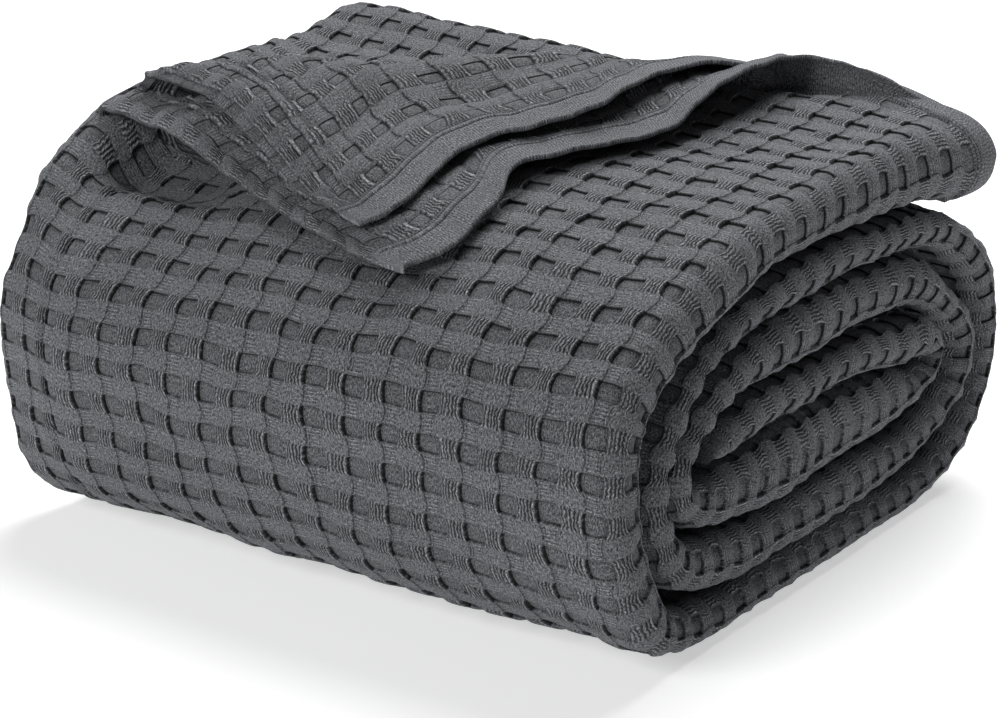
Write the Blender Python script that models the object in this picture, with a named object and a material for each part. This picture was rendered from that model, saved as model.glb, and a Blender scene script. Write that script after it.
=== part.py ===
"""Waffle weave cotton blanket, folded lengthwise into a flat pack of layers, wound loosely into a
bundle, with its loose end turned back over the top in two leaves. Metres, +Z up.

The wound pack is one slab. Its path is the outer face of each turn in the Y-Z plane, given
station by station below in weave repeats, and the slab runs along X between two rounded fold
edges. A smooth warp makes the far left corner taller and draws in the lower front, as on a
bundle wound by hand. The two leaves lie over the top along their own hem and edge lines."""

import math

import bmesh
import bpy
import numpy as np

REPEAT = 0.0145  # one repeat of the waffle along the blanket's length, metres
ORIGIN = (-8.9787, 9.7635, 0.0)  # the bundle's middle at the base, in repeats
X_RIGHT, X_LEFT = 0.20, -18.30  # where the rounded fold edges begin
BULGE = 0.66  # how far a fold edge stands past them

# The path of the wound pack at its right-hand end, from the loose end inwards.
# y, z: outer face of the turn; thick: the pack there (all in repeats)
#  place            y      z    thick
PATH = [
    ("loose end", 17.10, 11.02, 2.30),
    ("top", 15.00, 10.76, 2.05),
    ("top", 13.00, 10.42, 1.75),
    ("top", 11.00, 10.24, 1.62),
    ("top", 9.00, 10.08, 1.55),
    ("top", 7.07, 9.87, 1.50),
    ("top", 5.11, 9.50, 1.50),
    ("front shoulder", 3.21, 8.85, 1.50),
    ("front shoulder", 1.49, 7.84, 1.50),
    ("front shoulder", 0.32, 6.70, 1.50),
    ("front", -0.05, 5.42, 1.45),
    ("front", 0.00, 4.42, 1.42),
    ("front", 0.17, 3.43, 1.40),
    ("front", 0.51, 2.49, 1.35),
    ("front foot", 1.00, 1.55, 1.25),
    ("front foot", 1.75, 0.72, 1.15),
    ("front foot", 3.00, 0.15, 1.10),
    ("base", 4.60, 0.00, 1.05),
    ("base", 8.00, 0.00, 1.05),
    ("base", 12.00, 0.00, 1.05),
    ("base", 15.50, 0.00, 1.05),
    ("back foot", 17.60, 0.42, 1.05),
    ("back foot", 19.00, 1.45, 1.10),
    ("back", 19.70, 2.90, 1.10),
    ("back", 19.70, 4.30, 1.10),
    ("back", 19.10, 5.75, 1.10),
    ("back shoulder", 17.90, 6.95, 1.10),
    ("back shoulder", 16.30, 7.92, 1.05),
    ("turn 2 top", 14.60, 8.38, 1.00),
    ("turn 2 top", 12.00, 8.46, 1.00),
    ("turn 2 top", 9.00, 8.40, 1.00),
    ("turn 2 top", 7.00, 8.22, 1.00),
    ("turn 2 top", 5.30, 7.84, 0.97),
    ("turn 2 front", 3.85, 7.22, 0.93),
    ("turn 2 front", 2.68, 6.32, 0.90),
    ("turn 2 front", 1.93, 5.45, 0.88),
    ("turn 2 front", 1.64, 4.55, 0.88),
    ("turn 2 front", 1.72, 3.65, 0.90),
    ("turn 2 foot", 2.05, 2.75, 1.00),
    ("turn 2 foot", 2.75, 1.90, 1.15),
    ("turn 2 base", 3.95, 1.38, 1.25),
    ("turn 2 base", 5.50, 1.20, 1.30),
    ("turn 2 base", 8.00, 1.16, 1.30),
    ("turn 2 base", 12.00, 1.16, 1.30),
    ("turn 2 base", 14.80, 1.27, 1.25),
    ("turn 2 back", 16.70, 1.85, 1.15),
    ("turn 2 back", 17.90, 2.90, 1.00),
    ("turn 2 back", 18.20, 4.10, 1.00),
    ("turn 2 back", 17.70, 5.20, 1.00),
    ("turn 2 back", 16.50, 6.15, 1.05),
    ("turn 3 top", 14.80, 7.05, 1.25),
    ("turn 3 top", 12.00, 7.32, 1.45),
    ("turn 3 top", 9.00, 7.28, 1.45),
    ("turn 3 top", 7.00, 7.10, 1.35),
    ("turn 3 top", 5.30, 6.70, 1.00),
    ("turn 3 front", 3.60, 5.90, 0.72),
    ("turn 3 front", 2.66, 4.90, 0.60),
    ("turn 3 front", 2.70, 3.85, 0.75),
    ("turn 3 foot", 3.70, 3.00, 1.20),
    ("turn 3 base", 5.40, 2.66, 1.60),
    ("turn 3 base", 8.00, 2.60, 1.85),
    ("turn 3 base", 11.00, 2.60, 1.85),
    ("turn 3 base", 13.50, 2.76, 1.60),
    ("turn 3 back", 15.20, 3.10, 1.05),
    ("turn 3 back", 16.10, 3.66, 0.80),
    ("turn 3 back", 16.35, 4.40, 0.72),
    ("turn 3 back", 15.75, 5.10, 0.80),
    ("inner end", 13.80, 5.52, 1.05),
    ("inner end", 12.00, 5.68, 1.05),
    ("inner end", 9.00, 5.68, 1.05),
    ("inner end", 7.00, 5.60, 1.00),
    ("inner end", 5.60, 5.42, 0.95),
    ("inner end", 4.50, 5.22, 0.90),
    ("inner end", 3.60, 5.02, 0.80),
]


def step(a, b, t):
    """0 below a, 1 above b, smooth between."""
    t = np.clip((np.asarray(t, float) - a) / (b - a), 0.0, 1.0)
    return t * t * (3 - 2 * t)


def hermite(knots, values, at):
    """A smooth curve through the values at the knots, without overshoot."""
    knots, values = np.asarray(knots, float), np.asarray(values, float)
    gap = np.diff(knots)
    slope = np.diff(values) / gap
    tangent = np.zeros(len(knots))
    tangent[1:-1] = (slope[:-1] * gap[1:] + slope[1:] * gap[:-1]) / (gap[:-1] + gap[1:])
    tangent[0], tangent[-1] = slope[0], slope[-1]
    at = np.asarray(at, float)
    i = np.clip(np.searchsorted(knots, at, side="right") - 1, 0, len(gap) - 1)
    t = (at - knots[i]) / gap[i]
    h = gap[i]
    return (
        (2 * t**3 - 3 * t**2 + 1) * values[i]
        + (t**3 - 2 * t**2 + t) * h * tangent[i]
        + (3 * t**2 - 2 * t**3) * values[i + 1]
        + (t**3 - t**2) * h * tangent[i + 1]
    )


class Winding:
    """The path measured along its length w, in repeats, from the loose end inwards."""

    def __init__(self):
        y = np.array([r[1] for r in PATH])
        z = np.array([r[2] for r in PATH])
        thick = np.array([r[3] for r in PATH])
        chord = np.concatenate([[0], np.cumsum(np.hypot(np.diff(y), np.diff(z)))])
        fine = np.linspace(0, chord[-1], 6000)
        fy, fz = hermite(chord, y, fine), hermite(chord, z, fine)
        along = np.concatenate([[0], np.cumsum(np.hypot(np.diff(fy), np.diff(fz)))])
        self.length = along[-1]
        self.w, self.y, self.z = along, fy, fz
        self.thick = hermite(chord, thick, fine)
        ty, tz = np.gradient(fy, along), np.gradient(fz, along)
        size = np.hypot(ty, tz)
        self.ny, self.nz = tz / size, -ty / size  # out of the turn
        if self.nz[10] < 0:
            self.ny, self.nz = -self.ny, -self.nz

    def at(self, w):
        w = np.asarray(w, float)
        pick = [np.interp(w, self.w, a) for a in (self.y, self.z, self.ny, self.nz, self.thick)]
        size = np.hypot(pick[2], pick[3])
        past = w - np.clip(w, 0, self.length)
        pick[2], pick[3] = pick[2] / size, pick[3] / size
        pick[0] = pick[0] + past * pick[3]
        pick[1] = pick[1] - past * pick[2]
        return pick


def window(a, b, c, d, t):
    """1 between b and c, 0 outside a and d, straight between."""
    t = np.asarray(t, float)
    return np.clip((t - a) / (b - a), 0.0, 1.0) * (1 - np.clip((t - c) / (d - c), 0.0, 1.0))


def warp(x, y, z):
    """The bundle's own unevenness: a smooth shift of every point, the base left flat."""
    s = np.clip(-np.asarray(x, float) / 18.6, 0.0, 1.05)
    tall = 0.125 * step(1.5, 10.0, y) * s**1.15 + 0.022 * step(11.0, 14.5, y) * s**0.7
    waist = 0.15 * 4 * s * (1 - s) * (1 - step(0.0, 6.0, y)) * (1 - step(5.0, 8.5, z))
    lean = (-0.33 * s + 0.75 * step(0.82, 1.02, s)) * (1 - step(0.0, 7.0, y)) * step(0.0, 3.0, z)
    lift = 0.65 * step(0.92, 1.01, s) * step(0.3, 3.0, y) * (1 - step(5.5, 8.5, y)) * step(5.5, 8.0, z)
    dent = 0.70 * window(0.68, 0.80, 0.90, 0.96, s) * step(2.8, 4.4, y) * (1 - step(7.0, 9.5, y)) * step(5.5, 8.0, z)
    return x, y + waist + lean, np.maximum(z, 0.0) * (1 + tall) + lift - dent


def flare(w):
    """How far the loose end opens out at its right-hand corner: 1 at the hem, 0 further in."""
    return 1 - step(0.0, 4.5, w)


def puff(w):
    """How far the left-hand fold swells at the front shoulder."""
    return 0.45 * step(10.0, 13.0, w) * (1 - step(15.5, 18.0, w))


def slab(winding, w, x, depth):
    """A point of the pack: w along the path, x across it, depth in from its outer face."""
    y, z, ny, nz, _ = winding.at(w)
    droop = 0.55 * flare(w) * step(-1.7, 0.9, x)
    droop = droop + 1.30 * (1 - step(0.0, 2.8, w)) * (1 - step(-5.0, -1.5, x))
    return np.stack(warp(x, y - ny * depth, z - nz * depth - droop), -1)


def section(thick, across, round_, w):
    """The pack's section, as (x, depth) round a slab with two rounded fold edges."""
    half = thick / 2
    right, left = BULGE + 0.60 * float(flare(w)), BULGE + float(puff(w))
    ring = []
    for x in np.linspace(X_LEFT, X_RIGHT, across + 1):
        ring.append((x, 0.0))
    for a in np.linspace(0, math.pi, round_ + 1)[1:-1]:
        ring.append((X_RIGHT + right * math.sin(a), half - half * math.cos(a)))
    for x in np.linspace(X_RIGHT, X_LEFT, across + 1):
        ring.append((x, thick))
    for a in np.linspace(0, math.pi, round_ + 1)[1:-1]:
        ring.append((X_LEFT - left * math.sin(a), half + half * math.cos(a)))
    return np.array(ring)


# ---- leaves ----
LEAF = 0.22  # thickness of a turned-back leaf, in repeats
CLEAR = 0.16  # least room under a leaf

# The turned-back leaves, one row a rib, from the left-hand edge to the right.
# root x, y: where the cloth leaves the top; crest: its height where it turns over;
# turn: how far round it goes (180 is right over); hem x, y, z: the end of the rib
#  leaf     root_x  root_y  crest  turn   hem_x  hem_y  hem_z
RIBS = [
    ("upper", -17.50, 5.35, 11.50, 180, -7.87, 2.32, 9.12),
    ("upper", -15.65, 5.30, 11.95, 180, -7.54, 2.51, 9.26),
    ("upper", -14.45, 5.60, 12.08, 180, -7.23, 3.03, 9.52),
    ("upper", -13.35, 6.25, 12.08, 180, -7.17, 4.10, 9.98),
    ("upper", -12.25, 7.15, 12.03, 180, -7.23, 5.17, 10.38),
    ("upper", -11.35, 8.15, 12.00, 180, -6.88, 6.21, 10.70),
    ("upper", -10.20, 9.05, 12.00, 180, -6.21, 7.00, 10.90),
    ("upper", -9.20, 9.95, 12.00, 180, -5.73, 7.82, 11.07),
    ("upper", -8.30, 10.95, 12.00, 180, -5.27, 8.68, 11.32),
    ("upper", -7.35, 11.70, 12.00, 180, -5.23, 9.83, 11.59),
    ("upper", -6.30, 12.30, 12.05, 180, -5.22, 11.33, 11.92),
    ("upper", -5.40, 13.10, 12.14, 180, -4.86, 12.50, 12.12),
    ("upper", -4.75, 13.60, 12.04, 180, -4.42, 13.35, 12.02),
    ("upper", -4.25, 13.95, 11.86, 165, -4.05, 13.95, 11.80),
    ("lower", -18.70, 4.60, 10.50, 180, -5.92, 1.55, 8.40),
    ("lower", -18.40, 5.05, 10.85, 180, -6.17, 1.86, 8.42),
    ("lower", -16.40, 5.40, 11.20, 180, -5.45, 2.50, 8.78),
    ("lower", -14.30, 5.75, 11.50, 180, -5.30, 3.50, 9.28),
    ("lower", -12.50, 7.00, 11.50, 180, -5.35, 4.60, 9.78),
    ("lower", -11.25, 8.20, 11.50, 180, -5.70, 5.50, 10.20),
    ("lower", -9.90, 9.30, 11.50, 180, -5.20, 6.50, 10.40),
    ("lower", -8.70, 10.40, 11.50, 180, -4.70, 7.50, 10.50),
    ("lower", -7.60, 11.40, 11.50, 180, -4.20, 8.75, 10.57),
    ("lower", -6.50, 12.05, 11.55, 180, -3.90, 9.85, 10.72),
    ("lower", -5.50, 13.00, 11.65, 180, -3.80, 11.20, 11.30),
    ("lower", -4.70, 14.00, 11.85, 180, -3.70, 12.60, 11.85),
    ("lower", -3.95, 14.75, 12.05, 180, -3.50, 13.70, 12.06),
    ("lower", -3.45, 15.10, 12.10, 165, -3.40, 15.10, 12.08),
    ("lower", -3.00, 15.30, 12.10, 142, -3.00, 15.60, 12.00),
    ("lower", -2.40, 15.45, 12.15, 118, -2.40, 16.00, 11.85),
    ("lower", -1.85, 15.50, 12.15, 94, -1.85, 16.10, 11.60),
    ("lower", -1.00, 15.65, 12.30, 60, -1.00, 16.30, 11.25),
    ("lower", -0.20, 15.90, 11.40, 40, -0.25, 16.85, 10.75),
    ("lower", 0.45, 16.20, 10.60, 25, 0.30, 17.00, 10.20),
]


# sink: how deep a root stands in the top; wide, side: how far and which way a turn bulges;
# fall: where the left-hand border comes down, from its turn 0 to its hem 1
FORM = {
    "upper": {"sink": 0.34, "wide": 1.18, "side": (-0.35, 0.94), "fall": (0.22, 0.95)},
    "lower": {"sink": 0.20, "wide": 1.0, "side": (-0.55, 0.83), "fall": (0.08, 0.90)},
}


class Top:
    """Height of the wound pack's upper face at a place in plan."""

    def __init__(self, winding):
        self.xs = np.linspace(-19.2, 1.0, 42)
        w = np.linspace(0, 19.5, 320)
        self.ys = np.linspace(-0.4, 17.2, 180)
        rows = []
        for x in self.xs:
            p = slab(winding, w, np.full_like(w, x), 0 * w)
            order = np.argsort(p[:, 1])
            rows.append(np.interp(self.ys, p[order, 1], p[order, 2]))
        self.z = np.array(rows)

    def __call__(self, x, y):
        i = np.clip((np.asarray(x, float) - self.xs[0]) / (self.xs[1] - self.xs[0]), 0, len(self.xs) - 1.001)
        j = np.clip((np.asarray(y, float) - self.ys[0]) / (self.ys[1] - self.ys[0]), 0, len(self.ys) - 1.001)
        a, b = i.astype(int), j.astype(int)
        u, v = i - a, j - b
        z = self.z
        return (
            z[a, b] * (1 - u) * (1 - v) + z[a + 1, b] * u * (1 - v)
            + z[a, b + 1] * (1 - u) * v + z[a + 1, b + 1] * u * v
        )


def leaf(name, top, count, turns, flats):
    """The leaf's middle surface as a grid: a row for each rib, from root to hem."""
    table = np.array([r[1:] for r in RIBS if r[0] == name], float)
    gap = np.hypot(np.diff(table[:, 0]), np.diff(table[:, 1]))
    knots = np.concatenate([[0], np.cumsum(gap)])
    at = np.linspace(0, knots[-1], count)
    rx, ry, crest, turn, hx, hy, hz = (hermite(knots, table[:, k], at) for k in range(7))
    form = FORM[name]
    low = top(rx, ry) - form["sink"]
    r = (crest - low) / 2
    outer = 1 - step(0.0, 0.18, at / knots[-1])  # 1 at the left-hand border
    away = [form["side"][0] * (1 - outer) - outer, form["side"][1] * (1 - outer) + 0.1 * outer]
    rows = []
    for k in range(turns + 1):
        a = np.radians(turn) * k / turns
        side = r * form["wide"] * np.sin(a)
        rows.append(np.stack([rx + away[0] * side, ry + away[1] * side, low + r * (1 - np.cos(a))], -1))
    end = rows[-1]
    hem = np.stack([hx, hy, hz], -1)
    short = turn < 179.5
    least = top.clear[name]
    for k in range(1, flats + 1):
        t = k / flats
        fall = 1 - (0.45 * t + 0.55 * float(step(0, 1, t)))
        fall = fall * (1 - outer) + (1 - float(step(*form["fall"], t))) * outer
        flat = end + (hem - end) * t
        flat[:, 2] = hem[:, 2] + (end[:, 2] - hem[:, 2]) * fall
        flat[:, 2] = np.maximum(flat[:, 2], top(flat[:, 0], flat[:, 1]) + least)
        flat[short] = end[short] + (hem - end)[short] * t
        rows.append(flat)
    return np.stack(rows, 1)


# ---- build ----
def stations(winding, wanted):
    """Places along the path, closer together where it bends."""
    w = np.linspace(0, winding.length, 4000)
    y, z, ny, nz, _ = winding.at(w)
    bend = np.hypot(np.gradient(ny, w), np.gradient(nz, w))
    bend = np.convolve(bend, np.ones(61) / 61, "same")
    density = np.clip(0.35 + bend, 0.35, 1.2)
    total = np.concatenate([[0], np.cumsum((density[1:] + density[:-1]) / 2 * np.diff(w))])
    return np.interp(np.linspace(0, total[-1], wanted), total, w)


def metres(points):
    return (np.asarray(points) - np.array(ORIGIN)) * REPEAT


def mesh_object(name, points, faces):
    mesh = bpy.data.meshes.new(name)
    mesh.from_pydata([tuple(p) for p in points], [], faces)
    made = bmesh.new()
    made.from_mesh(mesh)
    bmesh.ops.triangulate(made, faces=made.faces[:])
    bmesh.ops.recalc_face_normals(made, faces=made.faces[:])
    made.to_mesh(mesh)
    made.free()
    item = bpy.data.objects.new(name, mesh)
    bpy.context.scene.collection.objects.link(item)
    return item


def pack_solid(winding):
    """The wound pack: its section carried along the path, closed at both ends."""
    ws = stations(winding, 150)
    points, faces = [], []
    count = None
    for w in ws:
        thick = float(winding.at(w)[4])
        inward = step(winding.length - 0.5, winding.length, w)
        near = 1 - 0.35 * float(inward)
        ring = section(thick, 6, 5, w)
        ring[:, 1] = thick / 2 + (ring[:, 1] - thick / 2) * near
        count = len(ring)
        points.append(slab(winding, np.full(count, w), ring[:, 0], ring[:, 1]))
    for i in range(len(ws) - 1):
        for k in range(count):
            a, b = i * count + k, i * count + (k + 1) % count
            faces.append((a, b, b + count, a + count))
    faces.append(tuple(range(count)))
    faces.append(tuple(range((len(ws) - 1) * count, len(ws) * count)))
    return mesh_object("blanket", metres(np.concatenate(points)), faces)


def leaf_solid(name, top, count, turns, flats):
    """A leaf as a thin slab about its middle surface."""
    grid = leaf(name, top, count, turns, flats)
    du = np.gradient(grid, axis=0)
    dv = np.gradient(grid, axis=1)
    normal = np.cross(du, dv)
    normal /= np.linalg.norm(normal, axis=2, keepdims=True)
    upper, lower = grid + normal * LEAF / 2, grid - normal * LEAF / 2
    n, m = grid.shape[:2]
    points = np.concatenate([upper.reshape(-1, 3), lower.reshape(-1, 3)])
    at = lambda i, j, side: side * n * m + i * m + j
    faces = []
    for i in range(n - 1):
        for j in range(m - 1):
            faces.append((at(i, j, 0), at(i, j + 1, 0), at(i + 1, j + 1, 0), at(i + 1, j, 0)))
            faces.append((at(i, j, 1), at(i + 1, j, 1), at(i + 1, j + 1, 1), at(i, j + 1, 1)))
    for i in range(n - 1):
        for j in (0, m - 1):
            faces.append((at(i, j, 0), at(i + 1, j, 0), at(i + 1, j, 1), at(i, j, 1)))
    for j in range(m - 1):
        for i in (0, n - 1):
            faces.append((at(i, j, 0), at(i, j + 1, 0), at(i, j + 1, 1), at(i, j, 1)))
    return mesh_object("leaf_" + name, metres(points), faces)


def cotton():
    material = bpy.data.materials.new("charcoal_cotton")
    material.use_nodes = True
    shader = material.node_tree.nodes["Principled BSDF"]
    shader.inputs["Base Color"].default_value = (0.105, 0.108, 0.116, 1)
    shader.inputs["Roughness"].default_value = 0.92
    shader.inputs["Metallic"].default_value = 0.0
    return material


def main():
    for item in list(bpy.data.objects):
        bpy.data.objects.remove(item, do_unlink=True)
    winding = Winding()
    top = Top(winding)
    top.clear = {"lower": CLEAR + LEAF / 2, "upper": 2 * CLEAR + 1.5 * LEAF}
    blanket = pack_solid(winding)
    for name, count, turns, flats in (("upper", 20, 6, 8), ("lower", 27, 6, 9)):
        sheet = leaf_solid(name, top, count, turns, flats)
        join = blanket.modifiers.new("join_" + name, "BOOLEAN")
        join.operation = "UNION"
        join.solver = "EXACT"
        join.object = sheet
        sheet.hide_render = True
        sheet.hide_viewport = True
        sheet.display_type = "WIRE"
    blanket.data.materials.append(cotton())


if __name__ == "__main__":
    main()
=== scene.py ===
"""The looks of a charcoal waffle weave cotton blanket: folded lengthwise into a pack, wound into a
bundle, its loose end turned back over the top in two leaves.

Every cloth surface is a grid laid in weave coordinates: s counts the pocket columns across the
blanket and t counts the rows along it. A cell of the weave holds a sunk pocket, a block of loose
floats beside it, a narrow ribbed square under it and a smooth square on the diagonal. The relief
is real geometry; yarns, stitches and grain are bump."""

import math

import bmesh
import bpy
import numpy as np
from mathutils import Matrix


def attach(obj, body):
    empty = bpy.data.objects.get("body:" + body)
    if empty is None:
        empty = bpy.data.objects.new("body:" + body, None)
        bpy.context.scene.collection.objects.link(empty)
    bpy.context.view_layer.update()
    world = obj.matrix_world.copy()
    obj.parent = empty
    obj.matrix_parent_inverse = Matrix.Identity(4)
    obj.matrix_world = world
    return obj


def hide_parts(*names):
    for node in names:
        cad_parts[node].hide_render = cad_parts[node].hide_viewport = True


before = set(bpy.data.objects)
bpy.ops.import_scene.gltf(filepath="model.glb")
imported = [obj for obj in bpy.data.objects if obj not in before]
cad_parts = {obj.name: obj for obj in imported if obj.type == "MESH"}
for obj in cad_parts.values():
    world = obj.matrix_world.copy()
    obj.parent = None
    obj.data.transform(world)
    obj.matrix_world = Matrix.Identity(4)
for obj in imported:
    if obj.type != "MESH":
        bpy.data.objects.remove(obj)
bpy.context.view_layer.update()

REPEAT = 0.0145  # one row of the weave, metres
ORIGIN = np.array([-8.9787, 9.7635, 0.0])  # the bundle's middle at the base, in repeats
X_RIGHT, X_LEFT = 0.20, -18.30
BULGE = 0.66
COLUMN = 1.10  # pitch of the pocket columns, in repeats
ROW_ZERO = 18.1  # path length at row 0

PATH = [
    ("loose end", 17.10, 11.02, 2.30),
    ("top", 15.00, 10.76, 2.05),
    ("top", 13.00, 10.42, 1.75),
    ("top", 11.00, 10.24, 1.62),
    ("top", 9.00, 10.08, 1.55),
    ("top", 7.07, 9.87, 1.50),
    ("top", 5.11, 9.50, 1.50),
    ("front shoulder", 3.21, 8.85, 1.50),
    ("front shoulder", 1.49, 7.84, 1.50),
    ("front shoulder", 0.32, 6.70, 1.50),
    ("front", -0.05, 5.42, 1.45),
    ("front", 0.00, 4.42, 1.42),
    ("front", 0.17, 3.43, 1.40),
    ("front", 0.51, 2.49, 1.35),
    ("front foot", 1.00, 1.55, 1.25),
    ("front foot", 1.75, 0.72, 1.15),
    ("front foot", 3.00, 0.15, 1.10),
    ("base", 4.60, 0.00, 1.05),
    ("base", 8.00, 0.00, 1.05),
    ("base", 12.00, 0.00, 1.05),
    ("base", 15.50, 0.00, 1.05),
    ("back foot", 17.50, 0.50, 1.05),
    ("back foot", 18.88, 1.60, 1.10),
    ("back", 19.65, 3.00, 1.10),
    ("back", 19.74, 4.40, 1.10),
    ("back", 19.22, 5.95, 1.10),
    ("back shoulder", 18.02, 7.20, 1.10),
    ("back shoulder", 16.40, 8.08, 1.05),
    ("turn 2 top", 14.60, 8.38, 1.00),
    ("turn 2 top", 12.00, 8.46, 1.00),
    ("turn 2 top", 9.00, 8.40, 1.00),
    ("turn 2 top", 7.00, 8.22, 1.00),
    ("turn 2 top", 5.30, 7.84, 0.97),
    ("turn 2 front", 3.85, 7.22, 0.93),
    ("turn 2 front", 2.68, 6.32, 0.90),
    ("turn 2 front", 1.93, 5.45, 0.88),
    ("turn 2 front", 1.64, 4.55, 0.88),
    ("turn 2 front", 1.72, 3.65, 0.90),
    ("turn 2 foot", 2.05, 2.75, 1.00),
    ("turn 2 foot", 2.75, 1.90, 1.15),
    ("turn 2 base", 3.95, 1.38, 1.25),
    ("turn 2 base", 5.50, 1.20, 1.30),
    ("turn 2 base", 8.00, 1.16, 1.30),
    ("turn 2 base", 12.00, 1.16, 1.30),
    ("turn 2 base", 14.80, 1.27, 1.25),
    ("turn 2 back", 16.70, 1.85, 1.15),
    ("turn 2 back", 17.90, 2.90, 1.00),
    ("turn 2 back", 18.20, 4.10, 1.00),
    ("turn 2 back", 17.70, 5.20, 1.00),
    ("turn 2 back", 16.50, 6.15, 1.05),
    ("turn 3 top", 14.80, 7.05, 1.25),
    ("turn 3 top", 12.00, 7.32, 1.45),
    ("turn 3 top", 9.00, 7.28, 1.45),
    ("turn 3 top", 7.00, 7.10, 1.35),
    ("turn 3 top", 5.30, 6.70, 1.00),
    ("turn 3 front", 3.60, 5.90, 0.72),
    ("turn 3 front", 2.66, 4.90, 0.60),
    ("turn 3 front", 2.70, 3.85, 0.75),
    ("turn 3 foot", 3.70, 3.00, 1.20),
    ("turn 3 base", 5.40, 2.66, 1.60),
    ("turn 3 base", 8.00, 2.60, 1.85),
    ("turn 3 base", 11.00, 2.60, 1.85),
    ("turn 3 base", 13.50, 2.76, 1.60),
    ("turn 3 back", 15.20, 3.10, 1.05),
    ("turn 3 back", 16.10, 3.66, 0.80),
    ("turn 3 back", 16.35, 4.40, 0.72),
    ("turn 3 back", 15.75, 5.10, 0.80),
    ("inner end", 13.80, 5.52, 1.05),
    ("inner end", 12.00, 5.68, 1.05),
    ("inner end", 9.00, 5.68, 1.05),
    ("inner end", 7.00, 5.60, 1.00),
    ("inner end", 5.60, 5.42, 0.95),
    ("inner end", 4.50, 5.22, 0.90),
    ("inner end", 3.60, 5.02, 0.80),
]

# The turned-back leaves, one row a rib, from the left-hand edge to the right.
# column: the pocket column there; root x, y: where the cloth leaves the top; crest: its height
# where it turns over; turn: how far round it goes; hem x, y, z: the end of the rib
#  leaf   column  root_x  root_y  crest  turn   hem_x  hem_y  hem_z
RIBS = [
    ("upper", -0.9, -17.50, 5.35, 11.30, 180, -7.87, 2.32, 9.12),
    ("upper", 0.0, -15.65, 5.30, 11.74, 180, -7.54, 2.51, 9.26),
    ("upper", 1.0, -14.45, 5.60, 11.98, 180, -7.23, 3.03, 9.52),
    ("upper", 2.0, -13.35, 6.25, 12.08, 180, -7.17, 4.10, 9.98),
    ("upper", 3.0, -12.25, 7.15, 12.03, 180, -7.23, 5.17, 10.38),
    ("upper", 4.0, -11.35, 8.15, 12.00, 180, -6.88, 6.21, 10.70),
    ("upper", 5.0, -10.20, 9.05, 12.00, 180, -6.21, 7.00, 10.90),
    ("upper", 6.0, -9.20, 9.95, 12.00, 180, -5.73, 7.82, 11.07),
    ("upper", 7.0, -8.30, 10.95, 12.00, 180, -5.27, 8.68, 11.32),
    ("upper", 8.0, -7.35, 11.70, 11.88, 180, -5.23, 9.83, 11.59),
    ("upper", 9.0, -6.30, 12.30, 11.85, 180, -5.22, 11.33, 11.74),
    ("upper", 9.8, -5.40, 13.10, 11.88, 180, -4.86, 12.50, 11.85),
    ("upper", 10.5, -4.75, 13.60, 11.84, 180, -4.42, 13.35, 11.82),
    ("upper", 11.1, -4.25, 13.95, 11.72, 165, -4.05, 13.95, 11.66),
    ("lower", -0.5, -18.70, 4.60, 10.42, 180, -5.92, 1.55, 8.40),
    ("lower", 0.0, -18.40, 5.05, 10.72, 180, -6.17, 1.86, 8.42),
    ("lower", 0.9, -16.40, 5.40, 10.92, 180, -5.45, 2.50, 8.78),
    ("lower", 1.9, -14.30, 5.75, 11.15, 180, -5.30, 3.50, 9.28),
    ("lower", 3.0, -12.50, 7.00, 11.28, 180, -5.35, 4.60, 9.78),
    ("lower", 3.9, -11.25, 8.20, 11.38, 180, -5.70, 5.50, 10.20),
    ("lower", 4.9, -9.90, 9.30, 11.50, 180, -5.20, 6.50, 10.40),
    ("lower", 5.9, -8.70, 10.40, 11.50, 180, -4.70, 7.50, 10.50),
    ("lower", 7.1, -7.60, 11.40, 11.50, 180, -4.20, 8.75, 10.57),
    ("lower", 8.1, -6.50, 12.05, 11.55, 180, -3.90, 9.85, 10.72),
    ("lower", 9.4, -5.50, 13.00, 11.65, 180, -3.80, 11.20, 11.30),
    ("lower", 10.7, -4.70, 14.00, 11.66, 180, -3.70, 12.60, 11.68),
    ("lower", 11.7, -3.95, 14.75, 11.84, 180, -3.50, 13.70, 11.85),
    ("lower", 13.0, -3.45, 15.10, 11.86, 165, -3.40, 15.10, 11.84),
    ("lower", 13.6, -3.00, 15.30, 11.88, 142, -3.00, 15.60, 11.80),
    ("lower", 14.2, -2.40, 15.45, 11.98, 118, -2.40, 16.00, 11.72),
    ("lower", 14.8, -1.85, 15.50, 12.15, 94, -1.85, 16.10, 11.60),
    ("lower", 15.6, -1.00, 15.65, 12.30, 60, -1.00, 16.30, 11.25),
    ("lower", 16.5, -0.20, 15.90, 11.40, 40, -0.25, 16.85, 10.75),
    ("lower", 17.3, 0.45, 16.20, 10.60, 25, 0.30, 17.00, 10.20),
]


# ---- base shape ----
def step(a, b, t):
    """0 below a, 1 above b, smooth between."""
    t = np.clip((np.asarray(t, float) - a) / (b - a), 0.0, 1.0)
    return t * t * (3 - 2 * t)


def ramp(a, b, t):
    return np.clip((np.asarray(t, float) - a) / (b - a), 0.0, 1.0)


def hermite(knots, values, at):
    """A smooth curve through the values at the knots, without overshoot."""
    knots, values = np.asarray(knots, float), np.asarray(values, float)
    gap = np.diff(knots)
    slope = np.diff(values) / gap
    tangent = np.zeros(len(knots))
    tangent[1:-1] = (slope[:-1] * gap[1:] + slope[1:] * gap[:-1]) / (gap[:-1] + gap[1:])
    tangent[0], tangent[-1] = slope[0], slope[-1]
    at = np.asarray(at, float)
    i = np.clip(np.searchsorted(knots, at, side="right") - 1, 0, len(gap) - 1)
    t = (at - knots[i]) / gap[i]
    h = gap[i]
    return (
        (2 * t**3 - 3 * t**2 + 1) * values[i]
        + (t**3 - 2 * t**2 + t) * h * tangent[i]
        + (3 * t**2 - 2 * t**3) * values[i + 1]
        + (t**3 - t**2) * h * tangent[i + 1]
    )


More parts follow.
